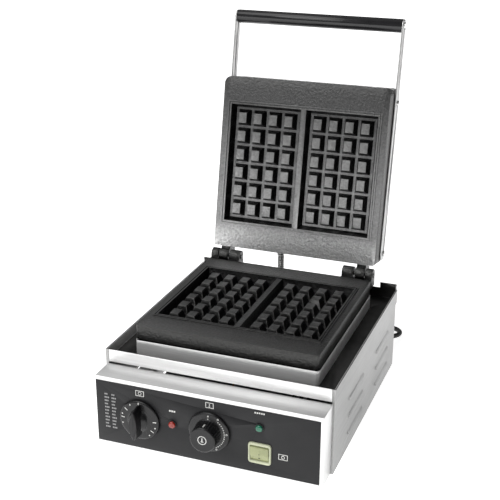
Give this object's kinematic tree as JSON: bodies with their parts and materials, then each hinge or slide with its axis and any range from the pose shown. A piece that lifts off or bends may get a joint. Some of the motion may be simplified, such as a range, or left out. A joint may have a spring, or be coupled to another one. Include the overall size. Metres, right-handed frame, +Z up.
{
  "type": "double waffle baker",
  "caption": "Counter-top baker with hinged cast plates for rectangular waffles, drip tray, lid handle, timer, thermostat and rocker switch.",
  "frame": {"origin": "on the surface it stands on, under the middle of its box with the lid open, without the mains lead", "axes": "+X to the right as the user faces the controls, +Y to the back, +Z up"},
  "size_m": [0.317, 0.4959, 0.4841],
  "materials": {
    "stainless": "brushed stainless sheet",
    "fascia_black": "satin black printed panel",
    "nonstick_cast": "dark satin non-stick coated casting",
    "bright_steel": "bright plated steel",
    "grip_black": "glossy black",
    "armour": "spiral armoured hose",
    "element_steel": "oxidised steel sheath",
    "copper": "copper",
    "insulation": "ceramic fibre blanket",
    "knob_black": "moulded phenolic",
    "unit_plastic": "moulded thermoset",
    "lamp_body": "moulded nylon",
    "lens_red": "clear red lens",
    "lens_green": "clear green lens",
    "rocker_green": "pale green translucent rocker",
    "loom": "heat-resistant sleeve",
    "rubber_black": "matte black rubber",
    "brass_pins": "plated brass"
  },
  "bodies": {
    "base": {"bottom_plate": "stainless", "conduit_base_nut": "bright_steel", "control_box": "stainless", "cord_coil": "rubber_black", "cord_gland": "rubber_black", "drip_tray": "stainless", "fascia_plate": "fascia_black", "foot_front_left": "rubber_black", "foot_front_right": "rubber_black", "foot_rear_left": "rubber_black", "foot_rear_right": "rubber_black", "foot_screws": "bright_steel", "heat_lamp_holder": "lamp_body", "heat_lamp_lens": "lens_red", "heat_shield": "stainless", "hinge_pin_left": "bright_steel", "hinge_pin_right": "bright_steel", "lid_conduit": "armour", "lower_grill_plate": "nonstick_cast", "lower_heating_element": "element_steel", "lower_plate_studs": "bright_steel", "plate_skirt": "stainless", "plug_lead": "rubber_black", "plug_pins": "brass_pins", "power_cord": "rubber_black", "power_lamp_holder": "lamp_body", "power_lamp_lens": "lens_green", "power_plug": "rubber_black", "rear_panel": "stainless", "rear_screws": "bright_steel", "side_panel_left": "stainless", "side_panel_right": "stainless", "strain_relief": "rubber_black", "switch_housing": "rocker_green", "terminal_block": "unit_plastic", "thermostat_bulb": "copper", "thermostat_capillary": "copper", "thermostat_unit": "unit_plastic", "timer_unit": "unit_plastic", "wiring_loom": "loom"},
    "lid": {"upper_grill_plate": "nonstick_cast", "upper_heating_element": "element_steel", "lid_insulation": "insulation", "lid_cover": "stainless", "cover_studs": "bright_steel", "handle_arm_left": "stainless", "handle_arm_right": "stainless", "arm_screws": "bright_steel", "handle_grip": "grip_black", "grip_rod": "bright_steel", "grip_end_nuts": "bright_steel", "conduit_lid_ferrule": "bright_steel"},
    "timer": {"timer_knob": "knob_black", "timer_shaft": "bright_steel"},
    "thermostat": {"thermostat_knob": "knob_black", "thermostat_shaft": "bright_steel"},
    "rocker": {"switch_rocker": "rocker_green"}
  },
  "joints": [
    {"name": "lid_hinge", "type": "hinge", "parent": "base", "child": "lid", "pos_m": [0, 0.1148, 0.1497], "axis": [1, 0, 0], "range_deg": [0, 101.2], "deforming": ["lid_conduit"]},
    {"name": "timer_turn", "type": "hinge", "parent": "base", "child": "timer", "pos_m": [-0.085, -0.2112, 0.0545], "axis": [0, 1, 0], "range_deg": [0, 300]},
    {"name": "thermostat_turn", "type": "hinge", "parent": "base", "child": "thermostat", "pos_m": [0.0058, -0.2112, 0.0575], "axis": [0, 1, 0], "range_deg": [0, 270]},
    {"name": "rocker_rock", "type": "hinge", "parent": "base", "child": "rocker", "pos_m": [0.0688, -0.1987, 0.0407], "axis": [1, 0, 0], "range_deg": [-20, 0]}
  ]
}
